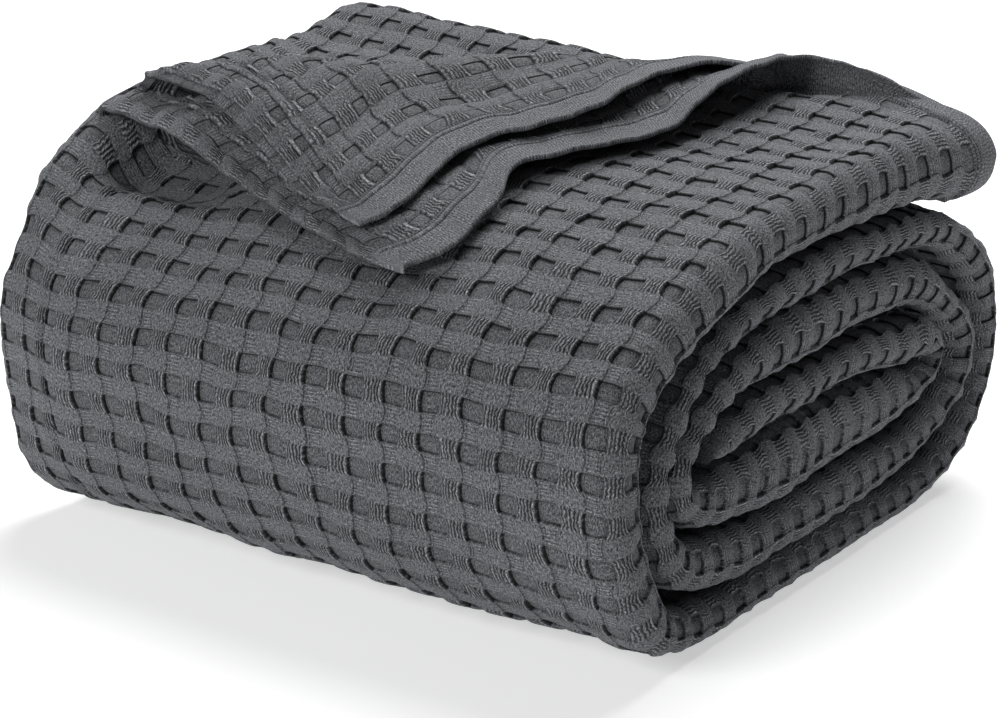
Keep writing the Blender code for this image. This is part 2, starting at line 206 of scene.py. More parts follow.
class Winding:
    """The path measured along its length w, in repeats, from the loose end inwards."""

    def __init__(self):
        y = np.array([r[1] for r in PATH])
        z = np.array([r[2] for r in PATH])
        thick = np.array([r[3] for r in PATH])
        chord = np.concatenate([[0], np.cumsum(np.hypot(np.diff(y), np.diff(z)))])
        fine = np.linspace(0, chord[-1], 6000)
        fy, fz = hermite(chord, y, fine), hermite(chord, z, fine)
        along = np.concatenate([[0], np.cumsum(np.hypot(np.diff(fy), np.diff(fz)))])
        self.length = along[-1]
        self.w, self.y, self.z = along, fy, fz
        self.thick = hermite(chord, thick, fine)
        ty, tz = np.gradient(fy, along), np.gradient(fz, along)
        size = np.hypot(ty, tz)
        self.ny, self.nz = tz / size, -ty / size
        if self.nz[10] < 0:
            self.ny, self.nz = -self.ny, -self.nz

    def at(self, w):
        w = np.asarray(w, float)
        pick = [np.interp(w, self.w, a) for a in (self.y, self.z, self.ny, self.nz, self.thick)]
        size = np.hypot(pick[2], pick[3])
        past = w - np.clip(w, 0, self.length)
        pick[2], pick[3] = pick[2] / size, pick[3] / size
        pick[0] = pick[0] + past * pick[3]
        pick[1] = pick[1] - past * pick[2]
        return pick


def warp(x, y, z):
    """The bundle's own unevenness: a smooth shift of every point, the base left flat."""
    s = np.clip(-np.asarray(x, float) / 18.6, 0.0, 1.05)
    tall = 0.115 * step(1.5, 10.0, y) * s**1.15 + 0.050 * step(12.0, 15.0, y) * s**0.7
    waist = 0.15 * 4 * s * (1 - s) * (1 - step(0.0, 6.0, y)) * (1 - step(5.0, 8.5, z))
    lean = (-0.33 * s + 0.75 * step(0.82, 1.02, s)) * (1 - step(0.0, 7.0, y)) * step(0.0, 3.0, z)
    lift = (0.35 + 0.30 * (1 - step(5.5, 8.5, y))) * step(0.92, 1.01, s) * step(0.3, 3.0, y)
    lift = lift * (1 - step(11.0, 14.5, y)) * step(5.5, 8.0, z)
    dent = 0.95 * window(0.68, 0.80, 0.91, 0.97, s) * step(2.8, 4.4, y) * (1 - step(7.0, 9.5, y)) * step(5.5, 8.0, z)
    sag = -0.45 * step(0.05, 0.40, s) * (1 - step(1.2, 3.8, z)) * (1 - step(0.5, 5.0, y))
    hip = 0.35 * step(15.5, 19.0, y) * step(1.0, 3.0, z) * (1 - step(7.2, 8.0, z))
    swell = 0.45 * step(0.78, 1.0, s) * (1 - step(3.0, 7.5, y)) * step(6.3, 8.6, z)
    return x - swell, y + waist + lean + sag + hip, np.maximum(z, 0.0) * (1 + tall) + lift - dent


def flare(w):
    """How far the loose end opens out at its right-hand corner: 1 at the hem, 0 further in."""
    return 1 - step(0.0, 4.5, w)


def puff(w):
    """How far the left-hand fold swells, at the front shoulder and above the foot."""
    swell = 0.72 * step(9.0, 12.0, w) * (1 - step(12.5, 17.3, w))
    swell = swell + 0.27 * step(18.5, 21.0, w) * (1 - step(21.6, 23.6, w))
    return swell - 0.32 * step(23.4, 25.2, w) * (1 - step(26.5, 29.0, w))


def slab(winding, w, x, depth):
    """A point of the pack: w along its path, x across it, depth under its outer face."""
    y, z, ny, nz, _ = winding.at(w)
    droop = 0.45 * flare(w) * step(-1.7, 0.9, x)
    droop = droop + 1.05 * (1 - step(0.0, 2.8, w)) * (1 - step(-5.0, -1.5, x))
    return np.stack(warp(x, y - ny * depth, z - nz * depth - droop), -1)


def waves(seed, a, b, length, count=7):
    """Smooth unevenness of about unit size over two coordinates, its waves about this long."""
    rng = np.random.default_rng(seed)
    out = 0.0
    for _ in range(count):
        turn, size, phase = rng.uniform(0, 2 * math.pi), rng.uniform(0.6, 1.7), rng.uniform(0, 2 * math.pi)
        k = 2 * math.pi / (length * size)
        out = out + np.sin(k * (a * math.cos(turn) + b * math.sin(turn)) + phase)
    return out / math.sqrt(count / 2)


# ---- weave ----
FINE = np.array([0.0, 0.022, 0.06, 0.15, 0.25, 0.35, 0.44, 0.478, 0.50, 0.535, 0.63, 0.75, 0.87, 0.965])
COARSE = np.array([0.0, 0.03, 0.15, 0.25, 0.35, 0.47, 0.50, 0.54, 0.75, 0.96])


def cuts(first, last, inside):
    cells = np.arange(math.floor(first), math.ceil(last) + 1)
    line = (cells[:, None] + inside).ravel()
    return line[(line >= first - 1e-9) & (line <= last + 1e-9)]


def half_width(t, wide, narrow):
    """Half the width of a pocket column, in columns: wide at the pockets, narrow between."""
    inside = 0.25 - np.abs((t - 0.25 + 0.5) % 1.0 - 0.5)
    wide = wide - 0.035 * (1 - step(0.0, 0.12, inside))
    narrow = narrow + 0.045 * (1 - step(0.0, 0.20, -inside))
    return narrow + (wide - narrow) * step(-0.04, 0.02, inside)


def column_at(s, t, wide=0.285, narrow=0.170):
    """Where grid line s runs, in columns: the column's edges sway from row to row."""
    k = np.floor(s)
    f = s - k
    half = half_width(t, wide, narrow)
    inside = -half + 2 * half * f / 0.5
    outside = half + (1 - 2 * half) * (f - 0.5) / 0.5
    return k + 0.245 + np.where(f < 0.5, inside, outside)


def window(a, b, c, d, t):
    return ramp(a, b, t) * (1 - ramp(c, d, t))


def relief(s, t, loft=1.0, deep=1.0):
    """Height of the weave over its ground, in repeats: loft for the floats, deep for the pockets."""
    fs, ft = s - np.floor(s), t - np.floor(t)
    mix = np.sin(np.floor(s + 1e-6) * 12.9898 + np.floor(t + 1e-6) * 78.233) * 43758.5453
    mix = mix - np.floor(mix)
    row = window(0.0, 0.022, 0.478, 0.5, ft)
    pocket = window(0.0, 0.022, 0.478, 0.5, fs) * row
    ribbed = window(0.0, 0.06, 0.44, 0.5, fs) * (1 - row)
    billow = np.sin(math.pi * np.clip(fs / 0.5, 0, 1)) * np.sin(math.pi * np.clip(ft / 0.5, 0, 1))
    band = window(0.5, 0.54, 0.96, 1.0, fs)
    floats = np.sin(math.pi * np.clip(ft / 0.5, 0, 1)) ** 0.7
    smooth = np.sin(math.pi * np.clip((ft - 0.5) / 0.5, 0, 1))
    return (
        -(0.082 + 0.035 * mix - 0.020 * billow) * deep * pocket
        - (0.030 + 0.012 * mix) * deep * ribbed
        + (0.022 + 0.016 * mix) * loft * band * floats
        + 0.010 * band * smooth
    )


def metres(points):
    return (np.asarray(points) - ORIGIN) * REPEAT


def grid_object(name, points, s, t, edge, material, slots=None, keep=None):
    """A grid of points as a mesh. Its UV maps are the weave's columns and rows, and beside them the
    distance from the hem edge."""
    n, m = points.shape[:2]
    index = np.arange(n * m).reshape(n, m)
    quads = np.stack([index[:-1, :-1], index[:-1, 1:], index[1:, 1:], index[1:, :-1]], -1).reshape(-1, 4)
    slot = None if slots is None else slots[:-1, :-1].reshape(-1)
    if keep is not None:
        good = keep.reshape(-1)[quads].all(axis=1)
        quads = quads[good]
        slot = None if slot is None else slot[good]
    used = np.zeros(n * m, bool)
    used[quads.reshape(-1)] = True
    renumber = np.cumsum(used) - 1
    quads = renumber[quads]
    flat = metres(points.reshape(-1, 3)[used])
    mesh = bpy.data.meshes.new(name)
    mesh.vertices.add(len(flat))
    mesh.vertices.foreach_set("co", flat.astype(np.float32).reshape(-1))
    mesh.loops.add(quads.size)
    mesh.loops.foreach_set("vertex_index", quads.reshape(-1).astype(np.int32))
    mesh.polygons.add(len(quads))
    mesh.polygons.foreach_set("loop_start", np.arange(0, quads.size, 4, dtype=np.int32))
    mesh.polygons.foreach_set("loop_total", np.full(len(quads), 4, np.int32))
    uv = mesh.uv_layers.new(name="weave")
    pair = np.stack([s, t], -1).reshape(-1, 2)[used]
    uv.data.foreach_set("uv", pair[quads.reshape(-1)].astype(np.float32).reshape(-1))
    uv = mesh.uv_layers.new(name="edge")
    pair = np.stack([edge, s], -1).reshape(-1, 2)[used]
    uv.data.foreach_set("uv", pair[quads.reshape(-1)].astype(np.float32).reshape(-1))
    mesh.update(calc_edges=True)
    mesh.validate()
    mesh.shade_smooth()
    mesh.set_sharp_from_angle(angle=math.radians(52))
    for item in material if isinstance(material, (list, tuple)) else [material]:
        mesh.materials.append(item)
    if slot is not None:
        mesh.polygons.foreach_set("material_index", slot.astype(np.int32))
    obj = bpy.data.objects.new(name, mesh)
    bpy.context.scene.collection.objects.link(obj)
    return obj


def grid_normals(points):
    n = np.cross(np.gradient(points, axis=1), np.gradient(points, axis=0))
    return n / np.maximum(np.linalg.norm(n, axis=-1, keepdims=True), 1e-12)


# ---- wound pack ----
winding = Winding()
LENGTH = winding.length


def across(a, w):
    """The pack's surface: a runs round it, along X on the outer face and on round both folds."""
    thick = winding.at(w)[4]
    half = thick / 2
    arc = math.pi * np.sqrt((half**2 + BULGE**2) / 2)
    right, left = np.maximum(a - X_RIGHT, 0), np.maximum(X_LEFT - a, 0)
    turn_r, turn_l = np.clip(right / arc, 0, 1) * math.pi, np.clip(left / arc, 0, 1) * math.pi
    x = np.clip(a, X_LEFT, X_RIGHT)
    x = x + (BULGE + 0.60 * flare(w)) * np.sin(turn_r) - np.maximum(right - arc, 0)
    x = x - (BULGE + puff(w)) * np.sin(turn_l) + np.maximum(left - arc, 0)
    close = 1 - 0.93 * step(LENGTH - 1.3, LENGTH, w)
    depth = half * (1 + close * (1 - np.cos(turn_r) - np.cos(turn_l)))
    return slab(winding, w, x, depth)


HEM = 1.12  # hem band with its seam, in repeats
BAND = np.array([0, 0.08, 0.25, 0.45, 0.65, 0.80, 0.85, 0.88, 0.91, 0.955, 1.0, 1.03, 1.06, 1.09])


def hem_height(d):
    """The hem band's own relief: a flat band, two stitched grooves with a ridge between."""
    groove = np.exp(-(((d - 0.88) / 0.022) ** 2)) + np.exp(-(((d - 1.03) / 0.022) ** 2))
    return 0.030 + 0.015 * np.exp(-(((d - 0.955) / 0.05) ** 2)) - 0.040 * groove


TUCK = -15.1  # the column at which the near face is tucked lengthwise


def pack_surface(name, w0, w1, a0, a1, inside, material):
    """Cloth on the wound pack between two path lengths and two places round its width."""
    s_line = cuts(a0 / COLUMN, a1 / COLUMN, inside)
    t_line = cuts(w0 - ROW_ZERO, w1 - ROW_ZERO, inside)
    if w0 <= 0:
        t_line = np.concatenate([BAND - ROW_ZERO, t_line[t_line > HEM - ROW_ZERO - 1e-9]])
    s, t = np.meshgrid(s_line, t_line, indexing="ij")
    drift = 0.045 * waves(11, s, t, 4.0) + 0.02 * waves(12, s, t, 1.7)
    drift_t = 0.045 * waves(13, s, t, 4.5) + 0.025 * waves(14, s, t, 1.9)
    drift = drift - 0.17 * np.sin(math.pi * (s - TUCK)) * np.exp(-(((s - TUCK) / 0.8) ** 2)) * step(12.5, 14.0, t + ROW_ZERO)
    a = (column_at(s, t) + drift) * COLUMN
    w = t + ROW_ZERO
    w = np.clip(w + drift_t * step(1.4, 3.5, w) * (1 - step(LENGTH - 3, LENGTH - 1.4, w)), 0, LENGTH)
    e = 0.02
    da = across(a + e, w) - across(a - e, w)
    dw = across(a, w + e) - across(a, w - e)
    normal = np.cross(dw, da)
    normal /= np.linalg.norm(normal, axis=-1, keepdims=True)
    edge = np.minimum(w, LENGTH - w)
    hem = edge < HEM - 1e-6
    rise = np.where(hem, hem_height(edge), relief(s, t) * (0.35 + 0.65 * step(1.5, 1.75, edge)))
    soft = 0.045 * waves(21, s, t, 7.0) + 0.02 * waves(22, s, t, 2.6)
    half = winding.at(w)[4] / 2
    arc = math.pi * np.sqrt((half**2 + BULGE**2) / 2)
    past = np.maximum(a - X_RIGHT, X_LEFT - a)
    fold = step(0.1, 0.6, past) * (1 - step(arc - 0.5, arc, past))
    scallop = -(0.028 + 0.008 * step(45.0, 53.0, w)) * np.sin(2 * math.pi * t) * fold * ~hem
    scallop = scallop * (1 + 0.35 * waves(23, s * 0 + t, w * 0, 3.1))
    tuck = np.exp(-(((s - TUCK) / 0.15) ** 2)) * (0.75 + 0.25 * waves(24, t, 0 * t, 2.3)) * step(12.5, 14.0, w) * (1 - step(24, 27, w))
    soft = soft - 0.16 * tuck
    points = across(a, w) + normal * (rise + soft + scallop)[..., None]
    points[..., 2] = np.maximum(points[..., 2], 0.0)
    return grid_object(name, points, s, t, edge, material, (edge < HEM - 0.001).astype(int))


# ---- leaves ----
class Top:
    """Height of the wound pack's upper face at a place in plan."""

    def __init__(self):
        self.xs = np.linspace(-19.2, 1.0, 42)
        w = np.linspace(0, 19.5, 320)
        self.ys = np.linspace(-0.4, 17.2, 180)
        rows = []
        for x in self.xs:
            p = slab(winding, w, np.full_like(w, x), 0 * w)
            order = np.argsort(p[:, 1])
            rows.append(np.interp(self.ys, p[order, 1], p[order, 2]))
        self.z = np.array(rows)

    def __call__(self, x, y):
        i = np.clip((np.asarray(x, float) - self.xs[0]) / (self.xs[1] - self.xs[0]), 0, len(self.xs) - 1.001)
        j = np.clip((np.asarray(y, float) - self.ys[0]) / (self.ys[1] - self.ys[0]), 0, len(self.ys) - 1.001)
        a, b = i.astype(int), j.astype(int)
        u, v = i - a, j - b
        z = self.z
        return (
            z[a, b] * (1 - u) * (1 - v) + z[a + 1, b] * u * (1 - v)
            + z[a, b + 1] * (1 - u) * v + z[a + 1, b + 1] * u * v
        )


top = Top()
LEAF = {
    "lower": dict(clear=0.24, sink=0.26, wide=1.0, side=(-0.55, 0.83), fall=(0.08, 0.90)),
    "upper": dict(clear=0.62, sink=0.40, wide=1.18, side=(-0.35, 0.94), fall=(0.22, 0.95)),
}


class Leaf:
    """A leaf's middle surface: column b along its hem, distance d back from the hem edge."""

    def __init__(self, name, turns=16, flats=30):
        rows = np.array([r[1:] for r in RIBS if r[0] == name], float)
        self.low, self.high = rows[0, 0], rows[-1, 0]
        self.b = np.linspace(self.low, self.high, 240)
        rx, ry, crest, turn, hx, hy, hz = (hermite(rows[:, 0], rows[:, k], self.b) for k in range(1, 8))
        form = LEAF[name]
        base = top(rx, ry) - form["sink"]
        r = (crest - base) / 2
        lines = []
        outer = 1 - step(0.0, 2.5, self.b - self.low)  # 1 at the left-hand border
        sx = form["side"][0] * (1 - outer) - 1.0 * outer
        sy = form["side"][1] * (1 - outer) + 0.1 * outer
        for k in range(turns + 1):
            a = np.radians(turn) * k / turns
            side = r * form["wide"] * np.sin(a)
            lines.append(np.stack([rx + sx * side, ry + sy * side, base + r * (1 - np.cos(a))], -1))
        end = lines[-1]
        hem = np.stack([hx, hy, hz], -1)
        short = turn < 179.5
        for k in range(1, flats + 1):
            f = k / flats
            fall = 1 - (0.45 * f + 0.55 * float(step(0, 1, f)))
            fall = fall * (1 - outer) + (1 - float(step(*form["fall"], f))) * outer
            flat = end + (hem - end) * f
            flat[:, 2] = hem[:, 2] + (end[:, 2] - hem[:, 2]) * fall
            flat[:, 2] = np.maximum(flat[:, 2], top(flat[:, 0], flat[:, 1]) + form["clear"])
            flat[short] = end[short] + (hem - end)[short] * f
            lines.append(flat)
        curve = np.stack(lines[::-1], 1)  # from the hem back to the root
        run = np.concatenate(
            [np.zeros((len(curve), 1)), np.cumsum(np.linalg.norm(np.diff(curve, axis=1), axis=2), axis=1)], 1
        )
        self.reach = run[:, -1]
        self.step = 0.05
        d = np.arange(0, self.reach.max() + 0.4, self.step)
        self.grid = np.stack(
            [np.stack([np.interp(d, run[i], curve[i, :, k]) for k in range(3)], -1) for i in range(len(curve))]
        )

    def at(self, b, d):
        i = np.clip((b - self.low) / (self.b[1] - self.b[0]), 0, len(self.b) - 1.001)
        j = np.clip(d / self.step, 0, self.grid.shape[1] - 1.001)
        a, c = i.astype(int), j.astype(int)
        u, v = (i - a)[..., None], (j - c)[..., None]
        g = self.grid
        return (
            g[a, c] * (1 - u) * (1 - v) + g[a + 1, c] * u * (1 - v)
            + g[a, c + 1] * (1 - u) * v + g[a + 1, c + 1] * u * v
        )

    def end(self, b):
        return np.interp(b, self.b, self.reach)


def leaf_surface(name, pitch, thickness, material):
    """A leaf as cloth: rows counted back from the hem seam, one pitch long each."""
    leaf = Leaf(name)
    deepest = (leaf.reach.max() - HEM) / pitch
    s_line = np.concatenate([[leaf.low], cuts(leaf.low + 0.02, leaf.high - 0.02, FINE), [leaf.high]])
    t_line = cuts(0.0, deepest + 0.3, FINE)
    rows_d = np.concatenate([BAND, HEM + t_line * pitch])
    rows_t = np.concatenate([(BAND - HEM) / pitch, t_line])
    s, d = np.meshgrid(s_line, rows_d, indexing="ij")
    t = -np.meshgrid(s_line, rows_t, indexing="ij")[1]
    rim = np.minimum(s - leaf.low, leaf.high - s)
    inside = step(HEM - 0.1, HEM + 0.5, d) * step(0.0, 0.7, rim)
    drift = (0.04 * waves(31, s, t, 3.0) + 0.02 * waves(32, s, t, 1.6)) * inside
    b = column_at(s, t + 0.5, 0.31, 0.20) * inside + (s + 0.03) * (1 - inside) + drift
    b = np.clip(b, leaf.low, leaf.high)
    b[0], b[-1] = leaf.low, leaf.high
    ragged = 0.03 * waves(33, s, t * 0, 1.3, 5)
    e = 0.03
    db = leaf.at(np.minimum(b + e, leaf.high), d) - leaf.at(np.maximum(b - e, leaf.low), d)
    dd = leaf.at(b, d + e) - leaf.at(b, np.maximum(d - e, 0))
    normal = np.cross(db, dd)
    normal /= np.maximum(np.linalg.norm(normal, axis=-1, keepdims=True), 1e-9)
    hem = d < HEM - 1e-6
    border = step(0.05, 0.4, rim) * (0.4 + 0.6 * step(HEM + 0.3, HEM + 0.9, d))
    rise = np.where(hem, hem_height(d), relief(s, t + 0.5, 1.25, 0.85) * border)
    crumple = 0.05 * waves(41, s, t, 5.0) + 0.05 * waves(42, s, t, 2.2) + 0.018 * waves(43, s, t, 0.9)
    crease = 0.05 * np.exp(-(((b - 1.15) / 0.3) ** 2)) - 0.10 * np.exp(-(((b - 0.78) / 0.14) ** 2))
    rise = rise + crumple * step(0.3, 2.2, d) + crease * step(2.0, 4.0, d) * step(0.0, 0.7, rim) + ragged * (1 - inside)
    points = leaf.at(b, d) + normal * rise[..., None]
    keep = d <= leaf.end(b) + 0.05
    obj = grid_object(name + "_leaf", points, s, t + 0.5, d, material, (d < HEM - 0.001).astype(int), keep)
    solid = obj.modifiers.new("thickness", "SOLIDIFY")
    solid.thickness = thickness * REPEAT
    solid.offset = -1.0
    solid.use_quality_normals = True
    return obj


# ---- materials ----
class Nodes:
    """Short hand for building a node tree."""

    def __init__(self, material):
        self.tree = material.node_tree
        self.tree.nodes.clear()
        self.links = self.tree.links

    def add(self, kind, **settings):
        node = self.tree.nodes.new(kind)
        for key, value in settings.items():
            setattr(node, key, value)
        return node

    def put(self, value, socket):
        if isinstance(value, bpy.types.NodeSocket):
            self.links.new(value, socket)
        else:
            socket.default_value = value

    def math(self, operation, *values, clamp=False):
        node = self.add("ShaderNodeMath", operation=operation, use_clamp=clamp)
        for i, value in enumerate(values):
            self.put(value, node.inputs[i])
        return node.outputs[0]

    def smooth(self, value, a, b):
        node = self.add("ShaderNodeMapRange", interpolation_type="SMOOTHSTEP")
        self.put(value, node.inputs["Value"])
        node.inputs["From Min"].default_value = a
        node.inputs["From Max"].default_value = b
        return node.outputs["Result"]

    def window(self, value, a, b, c, d):
        return self.math("MULTIPLY", self.smooth(value, a, b), self.math("SUBTRACT", 1.0, self.smooth(value, c, d)))

    def noise(self, vector, scale, detail=2.0, rough=0.5):
        node = self.add("ShaderNodeTexNoise")
        self.put(vector, node.inputs["Vector"])
        node.inputs["Scale"].default_value = scale
        node.inputs["Detail"].default_value = detail
        node.inputs["Roughness"].default_value = rough
        return node.outputs["Fac"]

    def vector(self, x, y, z=0.0):
        node = self.add("ShaderNodeCombineXYZ")
        for i, value in enumerate((x, y, z)):
            self.put(value, node.inputs[i])
        return node.outputs[0]


CLOTH = (0.114, 0.117, 0.126)


def cloth(name, hem=False, colour=CLOTH, edges=1.0):
    """Matte cotton. The weave's floats, ribs, stitches and grain follow the UV map's rows and columns.
    The colour also holds painted shade (dark pocket floors and rims, dark groove lines, a darker right
    side on the floats, dark seam grooves) and painted highlights (a light line on the floats, the hem's
    edge). edges is how dark the painted shade in the pockets and at their rims is."""
    material = bpy.data.materials.new(name)
    material.use_nodes = True
    n = Nodes(material)
    out = n.add("ShaderNodeOutputMaterial")
    shader = n.add("ShaderNodeBsdfPrincipled")
    n.links.new(shader.outputs[0], out.inputs[0])
    shader.inputs["Roughness"].default_value = 0.88
    shader.inputs["Specular IOR Level"].default_value = 0.25
    shader.inputs["Sheen Weight"].default_value = 0.12
    shader.inputs["Sheen Roughness"].default_value = 0.45
    shader.inputs["Sheen Tint"].default_value = (0.75, 0.78, 0.85, 1)
    uv = n.add("ShaderNodeUVMap", uv_map="weave").outputs[0]
    split = n.add("ShaderNodeSeparateXYZ")
    n.links.new(uv, split.inputs[0])
    s, t = split.outputs[0], split.outputs[1]
    place = n.add("ShaderNodeTexCoord").outputs["Object"]
    fine_t = n.noise(n.vector(n.math("MULTIPLY", s, 36.0), n.math("MULTIPLY", t, 13.0)), 1.0, 1.0, 0.6)
    fine_s = n.noise(n.vector(n.math("MULTIPLY", s, 13.0), n.math("MULTIPLY", t, 34.0)), 1.0, 1.0, 0.6)
    fibre = n.noise(place, 2300.0, 1.0, 0.6)
    broken = n.noise(n.vector(n.math("MULTIPLY", s, 7.0), n.math("MULTIPLY", t, 9.0)), 1.0, 1.0, 0.5)
    patch = n.noise(place, 24.0, 3.0, 0.55)
    if hem:
        map2 = n.add("ShaderNodeSeparateXYZ")
        n.links.new(n.add("ShaderNodeUVMap", uv_map="edge").outputs[0], map2.inputs[0])
        d = map2.outputs[0]
        wobble = n.noise(uv, 3.0, 2.0)
        line = n.math("SINE", n.math("MULTIPLY", n.math("ADD", s, n.math("MULTIPLY", wobble, 0.10)), 2 * math.pi * 15))
        grain = fine_t
        # seam: stitched grooves, as bump and as painted shade (darker); the hem's outer edge gets a painted highlight
        # (lighter)
        seam = n.math("ADD", n.window(d, 0.845, 0.87, 0.89, 0.915), n.window(d, 0.995, 1.02, 1.04, 1.065))
        edge_highlight = n.math("SUBTRACT", 1.0, n.smooth(d, 0.0, 0.05))
        height = n.math("MULTIPLY", line, 0.30)
        height = n.math("MULTIPLY_ADD", seam, -1.2, height)
        light = n.math("MULTIPLY_ADD", line, 0.32, 1.08)
        light = n.math("MULTIPLY_ADD", seam, -0.28, light)
        light = n.math("MULTIPLY_ADD", edge_highlight, 0.12, light)
    else:
        fs, ft = n.math("FRACT", s), n.math("FRACT", t)
        in_hole_s = n.window(fs, 0.0, 0.02, 0.48, 0.50)
        in_row = n.window(ft, 0.0, 0.02, 0.48, 0.50)
        band = n.math("SUBTRACT", 1.0, in_hole_s)
        floats = n.math("MULTIPLY", n.window(fs, 0.50, 0.52, 0.98, 1.0), n.window(ft, -0.04, 0.03, 0.47, 0.54))
        sway = n.noise(n.vector(n.math("MULTIPLY", s, 5.0), n.math("MULTIPLY", t, 7.0)), 1.0, 2.0)
        sway = n.math("MULTIPLY", n.math("SUBTRACT", sway, 0.5), 0.14)
        yarn = n.math("SINE", n.math("MULTIPLY", n.math("ADD", n.math("SUBTRACT", fs, 0.5), sway), 2 * math.pi * 11.0))
        yarn = n.math("MULTIPLY", yarn, floats)
        ribs = n.math("MULTIPLY", n.window(fs, 0.03, 0.07, 0.43, 0.47), n.window(ft, 0.5, 0.54, 0.96, 1.0))
        rib = n.math("SINE", n.math("MULTIPLY", n.math("ADD", ft, n.math("MULTIPLY", n.math("SUBTRACT", fine_s, 0.5), 0.05)), 2 * math.pi * 11.0))
        rib = n.math("MULTIPLY", rib, ribs)
        # grooves beside the ribbed squares: bump, and painted shade as dark lines in the colour
        side_grooves_and_shade = n.math("ADD", n.window(fs, -0.005, 0.01, 0.03, 0.045), n.window(fs, 0.085, 0.10, 0.11, 0.125))
        side_grooves_and_shade = n.math("ADD", side_grooves_and_shade, n.window(fs, 0.375, 0.39, 0.40, 0.415))
        side_grooves_and_shade = n.math("ADD", side_grooves_and_shade, n.math("MULTIPLY", n.window(fs, 0.450, 0.468, 0.492, 0.508), 1.25))
        side_grooves_and_shade = n.math("MULTIPLY", side_grooves_and_shade, n.window(ft, 0.5, 0.56, 0.94, 1.0))
        side_grooves_and_shade = n.math("MULTIPLY", side_grooves_and_shade, n.math("MULTIPLY_ADD", n.smooth(broken, 0.30, 0.60), 0.8, 0.2))
        # painted shade: the pockets' floors are darkened (pocket), and darker still towards two sides (shade), left and
        # top on the near face
        pocket = n.math("MULTIPLY", in_hole_s, in_row)
        # painted shade: dark lines along the pockets' left, right, top and bottom rims (the bottom one is foot), broken
        # up by noise
        left_rim_shade_breaks = n.math("MULTIPLY_ADD", n.smooth(broken, 0.30, 0.55), 0.65, 0.35)
        left_rim_shade = n.math("MULTIPLY", n.window(fs, -0.002, 0.004, 0.022, 0.034), in_row)
        left_rim_shade = n.math("MULTIPLY", left_rim_shade, left_rim_shade_breaks)
        right_rim_shade = n.math("MULTIPLY", n.window(fs, 0.462, 0.478, 0.500, 0.514), in_row)
        top_rim_shade = n.math("MULTIPLY", n.window(ft, 0.0, 0.010, 0.022, 0.044), in_hole_s)
        foot = n.math("MULTIPLY", n.window(ft, 0.458, 0.474, 0.494, 0.508), in_hole_s)
        foot = n.math("MULTIPLY", foot, n.smooth(broken, 0.40, 0.62))
        shade = n.math("SUBTRACT", 1.0, n.smooth(fs, 0.02, 0.16))
        shade = n.math("MAXIMUM", shade, n.math("SUBTRACT", 1.0, n.smooth(ft, 0.02, 0.14)))
        shade = n.math("MULTIPLY", shade, pocket)
        # painted highlight: a light line along the floats' right-hand edge
        glint = n.math("MULTIPLY", n.window(fs, 0.93, 0.955, 0.975, 1.0), n.window(ft, 0.0, 0.04, 0.46, 0.50))
        # painted shade: the floats darken towards their right-hand side
        comb_painted_shade = n.math("MULTIPLY", n.window(fs, 0.56, 0.88, 0.93, 0.95), n.window(ft, 0.0, 0.04, 0.46, 0.50))
        height = n.math("MULTIPLY", yarn, 2.0)
        height = n.math("MULTIPLY_ADD", rib, 0.35, height)
        height = n.math("MULTIPLY_ADD", side_grooves_and_shade, -0.8, height)
        grain = n.add("ShaderNodeMix", data_type="FLOAT")
        n.put(ribs, grain.inputs["Factor"])
        n.put(fine_t, grain.inputs["A"])
        n.put(fine_s, grain.inputs["B"])
        grain = grain.outputs["Result"]
        light = n.math("MULTIPLY_ADD", yarn, 0.85, 1.09)
        light = n.math("MULTIPLY_ADD", glint, 0.55, light)
        light = n.math("MULTIPLY_ADD", comb_painted_shade, -0.29, light)
        light = n.math("MULTIPLY_ADD", rib, 0.38, light)
        light = n.math("MULTIPLY_ADD", ribs, 0.09, light)
        light = n.math("MULTIPLY_ADD", side_grooves_and_shade, -0.72, light)
        # painted shade: pocket floors and rims darkened in the colour
        light = n.math("MULTIPLY_ADD", pocket, -0.17, light)
        light = n.math("MULTIPLY_ADD", shade, -0.27 * edges, light)
        light = n.math("MULTIPLY_ADD", left_rim_shade, -0.80 * edges, light)
        light = n.math("MULTIPLY_ADD", right_rim_shade, -0.55 * edges, light)
        light = n.math("MULTIPLY_ADD", top_rim_shade, -0.64 * edges, light)
        light = n.math("MULTIPLY_ADD", foot, -0.50, light)
        light = n.math("MAXIMUM", light, 0.07)
    height = n.math("MULTIPLY_ADD", grain, 3.0, height)
    height = n.math("MULTIPLY_ADD", fibre, 2.4, height)
    light = n.math("MULTIPLY", light, n.math("MULTIPLY_ADD", n.math("SUBTRACT", patch, 0.5), 0.16, 1.0))
    light = n.math("MULTIPLY", light, n.math("MULTIPLY_ADD", n.math("SUBTRACT", grain, 0.5), 3.6, 1.0))
    light = n.math("MULTIPLY", light, n.math("MULTIPLY_ADD", n.math("SUBTRACT", fibre, 0.5), 2.9, 1.0))
    light = n.math("MAXIMUM", light, 0.05)
    tint = n.add("ShaderNodeVectorMath", operation="SCALE")
    tint.inputs[0].default_value = colour
    n.put(light, tint.inputs["Scale"])
    n.links.new(tint.outputs[0], shader.inputs["Base Color"])
    bump = n.add("ShaderNodeBump")
    bump.inputs["Strength"].default_value = 0.9
    bump.inputs["Distance"].default_value = 0.00022
    n.put(height, bump.inputs["Height"])
    n.links.new(bump.outputs[0], shader.inputs["Normal"])
    return material


waffle = cloth("waffle_cotton")
leaf_cloth_painted_shade = cloth("waffle_painted_shade", colour=tuple(0.85 * c for c in CLOTH), edges=1.3)  # the upper leaf's cloth: the same cotton painted 15% darker as shade, with darker painted shade at its pockets' rims
plain = cloth("hem_cotton", hem=True)
PAIR = [waffle, plain]


